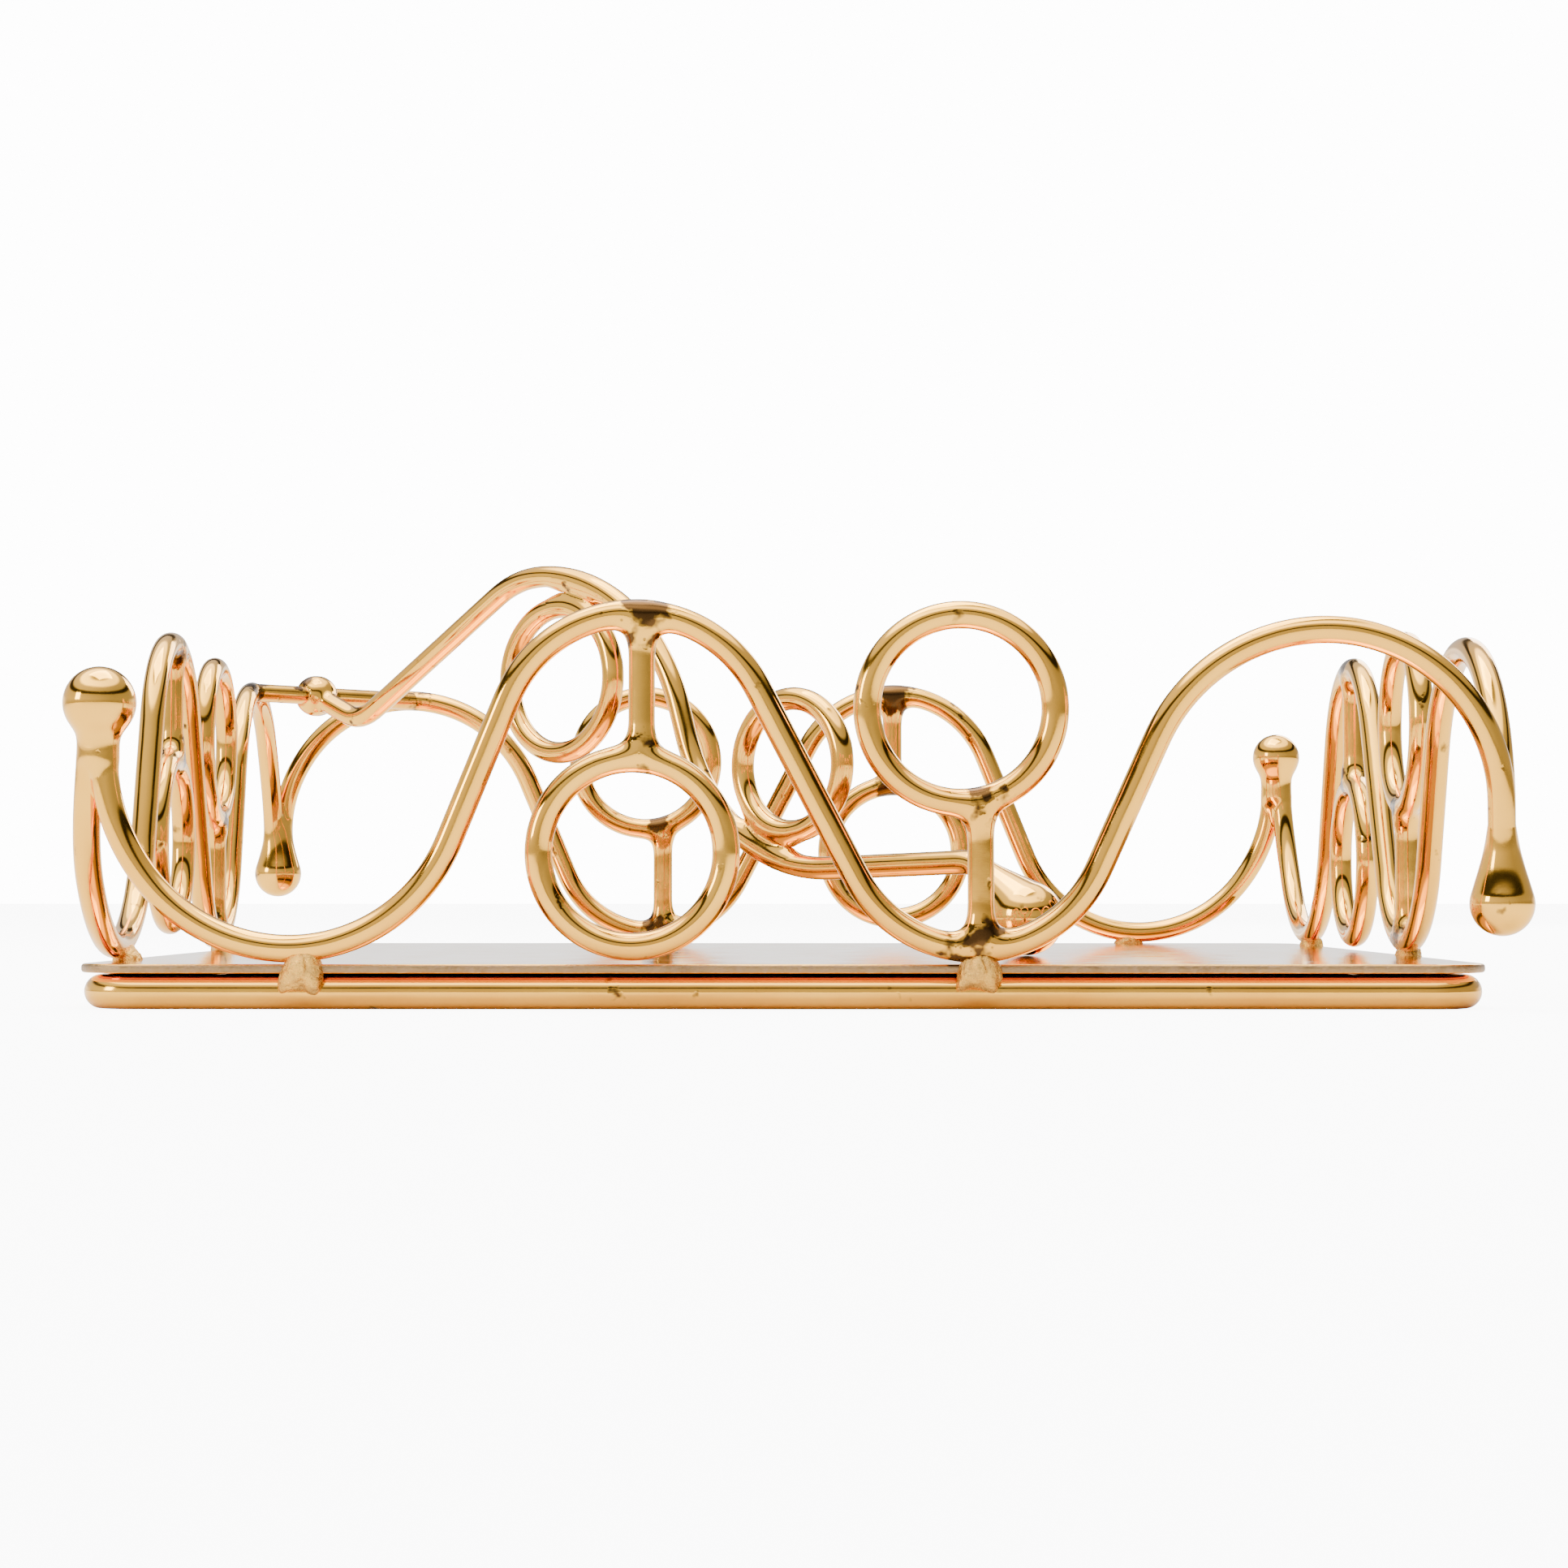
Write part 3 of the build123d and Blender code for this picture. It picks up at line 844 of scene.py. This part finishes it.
def raw_braze():
    """Rough matt braze metal that was never polished."""
    if "raw_braze" in bpy.data.materials:
        return bpy.data.materials["raw_braze"]
    material, tree, shader = new_material("raw_braze")
    tint = colours()
    lumps, fine = tree.grain(700.0, 5.0, 0.65), tree.grain(2600.0, 4.0, 0.7)
    dark = tree.ramp(tree.math("ADD", lumps, tree.math("MULTIPLY", fine, 0.4)), 0.78, 0.56)
    scale = (0.22, 0.12, 0.06)
    metal = tree.mix(tree.math("MULTIPLY", dark, 0.45), rgba(tint.bead), rgba(scale))
    tree.join(metal, shader.inputs["Base Color"])
    tree.join(tree.ramp(fine, 0.3, 0.7, 0.18, 0.42), shader.inputs["Roughness"])
    height = tree.math("ADD", lumps, tree.math("MULTIPLY", fine, 0.35))
    bump = tree.node("Bump", {"Strength": 0.8, "Distance": 0.0005, "Height": height})
    tree.join(bump.outputs[0], shader.inputs["Normal"])
    return material


# ---- operators: one for each piece or group of like pieces ----

class PieceMaker(bpy.types.Operator):
    """What every maker of pieces has in common."""

    bl_options = {"REGISTER", "UNDO"}


def rounded_square(half, corner, height, steps=14):
    """Level loop of points around a square with rounded corners."""
    points = []
    for quarter in range(4):
        for angle in np.linspace(0, pi / 2, steps):
            turn = angle + quarter * pi / 2
            middle = (half - corner) * sqrt(2)
            away = quarter * pi / 2 + pi / 4
            points.append((middle * cos(away) + corner * cos(turn),
                           middle * sin(away) + corner * sin(turn), height))
    return np.array(points)


class TRAY_OT_plate(PieceMaker):
    """Sheet brass floor of the tray, with softened edges"""

    bl_idname = "tray.plate"
    bl_label = "Plate"

    def execute(self, context):
        half, corner = PLATE_SIDE / 2, in_mm(sizes().plate_corner)
        low, high = float(PLATE_LOW[2]), PLATE_TOP
        soft, rim, inner = 0.45, 0.35, 3.0
        profile = [(inner, low), (soft + rim, low)]
        for turn in np.linspace(0, pi / 2, 6):
            profile.append((soft * (1 - sin(turn)), low + soft * (1 - cos(turn))))
        for turn in np.linspace(pi / 2, 0, 6):
            profile.append((soft * (1 - sin(turn)), high - soft * (1 - cos(turn))))
        profile += [(soft + rim, high), (inner, high)]
        loops = [rounded_square(half - inset, corner - inset, height)
                 for inset, height in profile]
        faces = grid_faces(len(loops), len(loops[0]), closed=False)
        piece = mesh_object("plate", np.vstack(loops), faces)
        finish_piece(piece, plate_brass(), "plate_brass", "tray", "base_plate")
        return {"FINISHED"}


class TRAY_OT_base_rod(PieceMaker):
    """Closed rod frame that the plate lies on"""

    bl_idname = "tray.base_rod"
    bl_label = "Base Rod"

    def execute(self, context):
        radius = in_mm(sizes().base_rod)
        low, high = cad_box("base_ring")
        half = float(high[0] - low[0]) / 2 - radius
        inset, longest = 0.4, 2.0
        corner = in_mm(sizes().plate_corner) - inset - radius
        loop = rounded_square(half, corner, radius, steps=18)
        dense = []
        for a, b in zip(loop, np.roll(loop, -1, axis=0)):
            parts = max(1, int(np.linalg.norm(b - a) / longest))
            dense += [a + (b - a) * i / parts for i in range(parts)]
        shape = swept(np.array(dense), (0, 0, 1), radius, sides=36, closed=True)
        piece = mesh_object("base_rod", *shape)
        brass = polished_brass("rod_brass", waves=0.3, deep=0.6, soot=0.5, rough=0.09)
        finish_piece(piece, brass, "polished_brass", "tray", "base_ring")
        return {"FINISHED"}


class TRAY_OT_rails(PieceMaker):
    """The four bent wires of the gallery"""

    bl_idname = "tray.rails"
    bl_label = "Gallery Rails"

    def execute(self, context):
        for side in SIDES:
            line = rail_line(side)[::3]
            shape = swept(line, across_side(side), wire_radius())
            piece = mesh_object("rail_wire_" + side, *shape)
            finish_piece(piece, polished_brass(), "polished_brass", "tray", "rail_" + side)
        return {"FINISHED"}


def ring_shape(node, across):
    """Centre line, middle and radius of a ring that fills the box of its CAD node."""
    centre, wire = cad_centre(node), wire_radius()
    radius = cad_height(node) / 2 - wire
    angles = np.linspace(0, 2 * pi, 160, endpoint=False)
    level = np.cross(across, UP)
    line = (centre + radius * np.cos(angles)[:, None] * level
            + radius * np.sin(angles)[:, None] * UP)
    return line, centre, radius


class TRAY_OT_rings(PieceMaker):
    """Hanging and standing rings of the four sides"""

    bl_idname = "tray.rings"
    bl_label = "Gallery Rings"

    def execute(self, context):
        for side in SIDES:
            for state in RING_STATES:
                node, across = f"ring_{side}_{state}", across_side(side)
                shape = swept(ring_shape(node, across)[0], across, wire_radius(), closed=True)
                piece = mesh_object(f"{state}_ring_{side}", *shape)
                finish_piece(piece, polished_brass(), "polished_brass", "tray", node)
        return {"FINISHED"}


def ring_run(ring_line, spot, reach):
    """The run of a ring near a spot, in order."""
    middle = int(np.argmin(np.linalg.norm(ring_line - spot, axis=1)))
    turned = np.roll(ring_line, len(ring_line) // 2 - middle, axis=0)
    return near(turned, spot, reach)


def stem_ends(side, state):
    """Where a stem meets its wire and its ring, on their centre lines."""
    _, centre, radius = ring_shape(f"ring_{side}_{state}", across_side(side))
    rail = rail_line(side)
    foot = on_side(side, SIDES[side]["stems"][RING_STATES.index(state)], 0.0)
    heights = rail[np.linalg.norm((rail - foot) * LEVEL, axis=1) < 1.0, 2]
    wire_height = heights.max() if state == "hanging" else heights.min()
    offset = np.linalg.norm((foot - centre) * LEVEL)
    rise = sqrt(max(radius ** 2 - offset ** 2, 0))
    ring_height = centre[2] + (rise if state == "hanging" else -rise)
    return foot * LEVEL + wire_height * UP, foot * LEVEL + ring_height * UP


class TRAY_OT_stems(PieceMaker):
    """Stems brazed between rails and rings, flowed out at both ends"""

    bl_idname = "tray.stems"
    bl_label = "Stems"

    def execute(self, context):
        for side in SIDES:
            for state in RING_STATES:
                self.make_stem(side, state)
        return {"FINISHED"}

    @staticmethod
    def make_stem(side, state, covered=10.5, felt=13.0):
        """Stem with its joints; it covers less of the rail than it feels."""
        wire, stem, soft = wire_radius(), in_mm(sizes().stem), in_mm(sizes().fillet)
        across, rail = across_side(side), rail_line(side)
        on_wire, on_ring = stem_ends(side, state)
        ring_line, centre, radius = ring_shape(f"ring_{side}_{state}", across)
        sink = STEM_SINK * (on_ring - on_wire) / np.linalg.norm(on_ring - on_wire)
        bar = np.array([on_wire + sink, on_ring - sink])
        shape = melted(bar_field(bar, stem), bar_field(near(rail, on_wire, felt), wire), soft)
        shape = melted(shape, ring_field(centre, across, radius, wire), soft * RING_SOFTNESS)
        shape = sinking(shape, bar_field(np.array([on_wire, on_ring]), 0.0), *STEM_FADE)
        parts = [swept(near(rail, on_wire, covered)[::2], across, wire, JOINT_SIDES),
                 swept(ring_run(ring_line, on_ring, covered), across, wire, JOINT_SIDES),
                 swept(np.linspace(on_wire, on_ring, 12), across, stem, JOINT_SIDES)]
        piece = fused(f"stem_{state}_{side}", parts, shape)
        finish_piece(piece, polished_brass(), "polished_brass", "tray", f"stem_{side}_{state}")


class TRAY_OT_beads(PieceMaker):
    """Rough braze beads over the plate edge, under both valleys of each rail"""

    bl_idname = "tray.beads"
    bl_label = "Braze Beads"

    def execute(self, context):
        for side in SIDES:
            for number, along in enumerate(BEAD_ALONG, start=1):
                self.make_bead(side, number, along)
        return {"FINISHED"}

    def make_bead(self, side, number, along, taper=0.26, lean=0.5):
        """Bead that narrows upwards and sags to one side."""
        node, rail = f"weld_{side}_{number}", SIDES[side]
        level = on_side(side, 1.0, 0.0) - on_side(side, 0.0, 0.0)
        centre = on_side(side, along, PLATE_MIDDLE, -rail["out"] * rail["beyond"])
        height = float(cad_height(node)) / 2 + BEAD_OVERLAP
        points, faces = ball_mesh((0, 0, 0), 1.0, 5)
        rough = [self.lump(p, number * 7.3 + rail["turn"]) for p in points]
        spread = points * np.array(rough)[:, None] * (*BEAD_HALF, height)
        spread[:, 0] *= 1.0 - taper * points[:, 2]
        spread[:, 0] -= lean * np.clip(-points[:, 2], 0, 1) ** 2
        shape = centre + spread @ np.array([level, across_side(side), UP])
        piece = mesh_object(f"braze_bead_{side}_{number}", shape, faces)
        finish_piece(piece, raw_braze(), "weld_brass", "tray", node)

    @staticmethod
    def lump(point, seed):
        """Drips, a cleft and small lumps on the bead."""
        spot = Vector(point) * 1.6 + Vector((seed, seed * 0.7, 0.3))
        lumps = sum(height * noise.noise(spot * scale) for scale, height in BEAD_LUMPS)
        cleft_at = 0.25 * sin(seed) + 0.12 * sin(4 * point[2] + seed)
        cleft = -0.13 * max(0.0, 1 - abs(point[0] - cleft_at) / 0.16) ** 1.5
        low = max(0.0, -point[2] - 0.1)
        drips = 0.42 * low * sum(exp(-((point[0] - at) / 0.24) ** 2) for at in DRIPS_AT)
        return 0.95 + lumps + drips + cleft * max(0.0, 1 - abs(point[2]) * 0.6)


class TRAY_OT_corners(PieceMaker):
    """Balls and drops melted on to the wire ends at the corners"""

    bl_idname = "tray.corners"
    bl_label = "Corner Balls and Drops"

    def execute(self, context):
        for name, corner in CORNERS.items():
            self.make_finial(name, corner)
        return {"FINISHED"}

    @staticmethod
    def ball(centre, radius):
        """Ball on a short neck that joins the two wires."""
        neck = centre + UP * BALL_NECK["length"]
        shape = melted(ball_field(centre, radius),
                       cone_field(centre, neck, *BALL_NECK["radii"]), BALL_NECK["softness"])
        return shape, neck

    @staticmethod
    def drop(centre, radius):
        """Drop that hangs from the two wires."""
        neck = centre + UP * DROP_NECK["length"]
        return cone_field(centre, neck, radius, DROP_NECK["radius"]), neck

    def make_finial(self, name, corner, covered=13.6, felt=15.5):
        """Ball or drop with the ends of its two wires."""
        centre, wire = corner_centre(name), wire_radius()
        form = self.ball if "ball" in name else self.drop
        shape, neck = form(centre, corner["radius"])
        parts = [ball_mesh(centre, corner["radius"], 3),
                 swept(np.linspace(centre, neck, 10), (1, 0, 0), NECK_CORE, JOINT_SIDES)]
        for side in corner["sides"]:
            rail, across = rail_line(side), across_side(side)
            shape = melted(shape, bar_field(near(rail, centre, felt), wire), CORNER_SOFTNESS)
            parts.append(swept(near(rail, centre, covered)[::2], across, wire, JOINT_SIDES))
        shape = sinking(shape, ball_field(centre), *CORNER_FADE)
        piece = fused(name.replace("corner_", "finial_"), parts, shape)
        finish_piece(piece, polished_brass(), "polished_brass", "tray", name)


class TRAY_OT_pin(PieceMaker):
    """Hinge pin between the left and back rails"""

    bl_idname = "tray.pin"
    bl_label = "Hinge Pin"

    def execute(self, context):
        left, back = pin_line()
        line = np.linspace(left, back, 60)
        shape = swept(line, (0, 0, 1), in_mm(sizes().pin), dome=0.05)
        piece = mesh_object("pin", *shape)
        brass = polished_brass("pin_brass", waves=0.5, deep=0.9, soot=1.0, rough=0.14)
        finish_piece(piece, brass, "polished_brass", "tray", "hinge_pin")
        return {"FINISHED"}


class TRAY_OT_arm(PieceMaker):
    """Weight arm: hub, bent wire, its two rings and the teardrop weight"""

    bl_idname = "tray.arm"
    bl_label = "Weight Arm"

    def execute(self, context):
        line, (_, pin), wire = arm_line(), arm_directions(), wire_radius()
        bare_from = int(in_mm(sizes().hub) * 0.75 / LINE_STEP)
        piece = mesh_object("lifting_wire", *swept(line[bare_from::3], pin, wire))
        finish_piece(piece, polished_brass(), "polished_brass", "arm", "arm_wire")
        self.make_hub(line, pin, wire)
        for state in RING_STATES:
            ring_line, _, _ = ring_shape("arm_ring_" + state, pin)
            piece = mesh_object("lifting_ring_" + state,
                                *swept(ring_line, pin, wire, closed=True))
            finish_piece(piece, polished_brass(), "polished_brass", "arm", "arm_ring_" + state)
        for node, weld in ARM_WELDS.items():
            self.make_joint(node, weld, line, pin, wire)
        self.make_weight(line, pin, wire)
        return {"FINISHED"}

    @staticmethod
    def make_joint(node, weld, line, pin, wire, covered=9.0, felt=14.0):
        """Braze web between the arm and one of its rings."""
        heading, _ = arm_directions()
        ring_line, centre, radius = ring_shape(weld["ring"], pin)
        lean = radians(weld["lean"])
        out = weld["way"] * (sin(lean) * heading + cos(lean) * UP)
        spot = centre + out * (radius + wire)
        shape = melted(ring_field(centre, pin, radius, wire),
                       bar_field(near(line, spot, felt), wire), ARM_JOINT_SOFTNESS)
        shape = sinking(shape, ball_field(spot), *ARM_JOINT_FADE)
        parts = [swept(near(line, spot, covered)[::2], pin, wire, JOINT_SIDES),
                 swept(ring_run(ring_line, spot, covered), pin, wire, JOINT_SIDES),
                 ball_mesh(spot, ARM_JOINT_CORE, 3)]
        piece = fused(node.replace("arm_weld", "lifting_joint"), parts, shape)
        finish_piece(piece, polished_brass(), "polished_brass", "arm", node)

    @staticmethod
    def make_hub(line, pin, wire, covered=9.0, felt=12.0, clear=8):
        """Round hub, bored for the pin; the arm's wire grows out of it."""
        hinge, hub = hinge_point(), in_mm(sizes().hub)
        bore = bar_field(np.array([hinge - pin * BORE_REACH, hinge + pin * BORE_REACH]),
                         in_mm(sizes().pin) + BORE_GAP)
        ball = cone_field(hinge - pin * HUB_FLAT, hinge + pin * HUB_FLAT, hub, hub)
        body = melted(ball, bar_field(near(line, hinge, felt)[clear:], wire), HUB_SOFTNESS)
        shape = sinking(carved(body, bore), ball_field(hinge), *HUB_FADE)
        parts = [ball_mesh(hinge, hub, 4),
                 swept(near(line, hinge, covered)[::2], pin, wire, JOINT_SIDES)]
        piece = fused("hub", parts, shape, HUB_VOXEL)
        finish_piece(piece, polished_brass(), "polished_brass", "arm", "arm_hub")

    @staticmethod
    def make_weight(line, pin, wire, neck_reach=11.0, covered=16.0, felt=20.0):
        """Teardrop on the end of the arm."""
        centre = on_arm(*weight_spot())
        neck = near(line, centre, neck_reach)[0]
        shape = cone_field(centre, neck, WEIGHT_RADIUS - WEIGHT_INSET, wire)
        shape = melted(shape, bar_field(near(line, centre, felt), wire), WEIGHT_SOFTNESS)
        shape = sinking(shape, ball_field(centre), *WEIGHT_FADE)
        parts = [ball_mesh(centre, WEIGHT_RADIUS, 4),
                 ball_mesh(centre * 0.6 + neck * 0.4, WEIGHT_CORE, 3),
                 swept(near(line, centre, covered)[::2], pin, wire, JOINT_SIDES)]
        piece = fused("weight", parts, shape)
        finish_piece(piece, polished_brass(), "polished_brass", "arm", "arm_weight")


class TRAY_OT_stage(PieceMaker):
    """Pale floor, soft studio light and the camera"""

    bl_idname = "tray.stage"
    bl_label = "Stage"

    def execute(self, context):
        self.floor()
        self.sky()
        for name, box in SOFTBOXES.items():
            self.softbox(name, **box)
        self.camera()
        return {"FINISHED"}

    @staticmethod
    def floor():
        """Pale paper floor, lit up where the camera sees it."""
        corners = [(x * FLOOR_HALF, y * FLOOR_HALF, 0)
                   for x, y in ((-1, -1), (1, -1), (1, 1), (-1, 1))]
        ground = mesh_object("floor", corners, [(0, 1, 2, 3)], smooth=False)
        material = bpy.data.materials.new("floor_paper")
        material.use_nodes = True
        tree = Tree(material.node_tree)
        shader = material.node_tree.nodes["Principled BSDF"]
        shader.inputs["Base Color"].default_value = rgba(colours().floor)
        shader.inputs["Roughness"].default_value = 0.85
        bump = tree.node("Bump", {"Strength": 0.05, "Distance": 0.0002,
                                  "Height": tree.grain(2500.0)})
        tree.join(bump.outputs[0], shader.inputs["Normal"])
        shader.inputs["Emission Color"].default_value = rgba((1, 1, 1))
        seen = tree.node("LightPath").outputs["Is Camera Ray"]
        tree.join(tree.math("MULTIPLY", seen, FLOOR_GLOW), shader.inputs["Emission Strength"])
        ground.data.materials.append(material)

    @staticmethod
    def sky():
        """White room that is darker low down in front of the tray."""
        world = bpy.data.worlds.new("studio")
        bpy.context.scene.world = world
        world.use_nodes = True
        tree = Tree(world.node_tree)
        direction = tree.node("SeparateXYZ", {0: tree.node("TexCoord").outputs["Generated"]})
        bands = tree.node("ValToRGB", {0: direction.outputs[2]})
        ramp = bands.color_ramp
        ramp.elements[0].position = ROOM_BANDS[0][0]
        ramp.elements[1].position = ROOM_BANDS[-1][0]
        for place, _ in ROOM_BANDS[1:-1]:
            ramp.elements.new(place)
        for element, (_, level) in zip(ramp.elements, ROOM_BANDS):
            element.color = rgba((level, level, level))
        side = tree.ramp(direction.outputs[0], -0.8, 0.8, 1.3, 0.6)
        room = tree.math("MULTIPLY", tree.math("MULTIPLY", bands.outputs[0], side), ROOM_POWER)
        behind = tree.math("MULTIPLY", tree.ramp(direction.outputs[1], 0.35, 0.75),
                           tree.ramp(direction.outputs[2], 0.10, 0.16, 1.0, 0.0))
        room = tree.math("ADD", room, tree.math("MULTIPLY", behind, BEHIND_POWER))
        seen = tree.node("LightPath").outputs["Is Camera Ray"]
        strength = tree.math("MAXIMUM", room, tree.math("MULTIPLY", seen, BACKDROP_POWER))
        background = world.node_tree.nodes["Background"]
        background.inputs["Color"].default_value = rgba((1, 1, 1))
        tree.join(strength, background.inputs["Strength"])

    @staticmethod
    def softbox(name, place, target, size, power):
        light = bpy.data.lights.new(name, "AREA")
        light.shape, light.size, light.energy = "SQUARE", size, power
        lamp = bpy.data.objects.new(name, light)
        bpy.context.scene.collection.objects.link(lamp)
        lamp.location = place
        aim = Vector(target) - Vector(place)
        lamp.rotation_euler = aim.to_track_quat("-Z", "Y").to_euler()

    @staticmethod
    def camera():
        lens = bpy.data.cameras.new("camera")
        lens.lens, lens.sensor_width = LENS_LENGTH, SENSOR_WIDTH
        lens.clip_start, lens.clip_end = 0.01, 30.0
        camera = bpy.data.objects.new("camera", lens)
        bpy.context.scene.collection.objects.link(camera)
        camera.location = CAMERA_PLACE
        camera.rotation_euler = Euler((radians(90 + CAMERA_LIFT), 0.0, radians(CAMERA_TURN)))
        bpy.context.scene.camera = camera


MAKERS = (TRAY_OT_plate, TRAY_OT_base_rod, TRAY_OT_rails, TRAY_OT_rings, TRAY_OT_stems,
          TRAY_OT_beads, TRAY_OT_corners, TRAY_OT_pin, TRAY_OT_arm, TRAY_OT_stage)


class TRAY_PT_panel(bpy.types.Panel):
    """Sizes, colours and makers of the napkin tray"""

    bl_idname = "TRAY_PT_panel"
    bl_label = "Napkin Tray"
    bl_space_type = "VIEW_3D"
    bl_region_type = "UI"
    bl_category = "Napkin Tray"

    def draw(self, context):
        for group in (context.scene.tray_sizes, context.scene.tray_colours):
            for name in group.__annotations__:
                self.layout.prop(group, name)
        for maker in MAKERS:
            self.layout.operator(maker.bl_idname)


CLASSES = (TraySizes, TrayColours, *MAKERS, TRAY_PT_panel)


def register():
    for made in CLASSES:
        bpy.utils.register_class(made)
    bpy.types.Scene.tray_sizes = PointerProperty(type=TraySizes)
    bpy.types.Scene.tray_colours = PointerProperty(type=TrayColours)


def unregister():
    del bpy.types.Scene.tray_sizes
    del bpy.types.Scene.tray_colours
    for made in reversed(CLASSES):
        bpy.utils.unregister_class(made)


def mark_soot():
    """Lists the places the torch blackened: both ends of the stems, and the hinge."""
    SOOT_SPOTS.clear()
    for side in SIDES:
        for state in RING_STATES:
            on_wire, on_ring = stem_ends(side, state)
            SOOT_SPOTS.append((on_wire, *SOOT_ON_WIRE))
            SOOT_SPOTS.append((on_ring, *SOOT_ON_RING))
    SOOT_SPOTS.append((hinge_point(), *SOOT_ON_HINGE))
    for point in pin_line():
        SOOT_SPOTS.append((point, *SOOT_ON_PIN_END))


def main():
    register()
    mark_soot()
    for maker in MAKERS:
        group, name = maker.bl_idname.split(".")
        getattr(getattr(bpy.ops, group), name)()


if __name__ == "__main__":
    main()
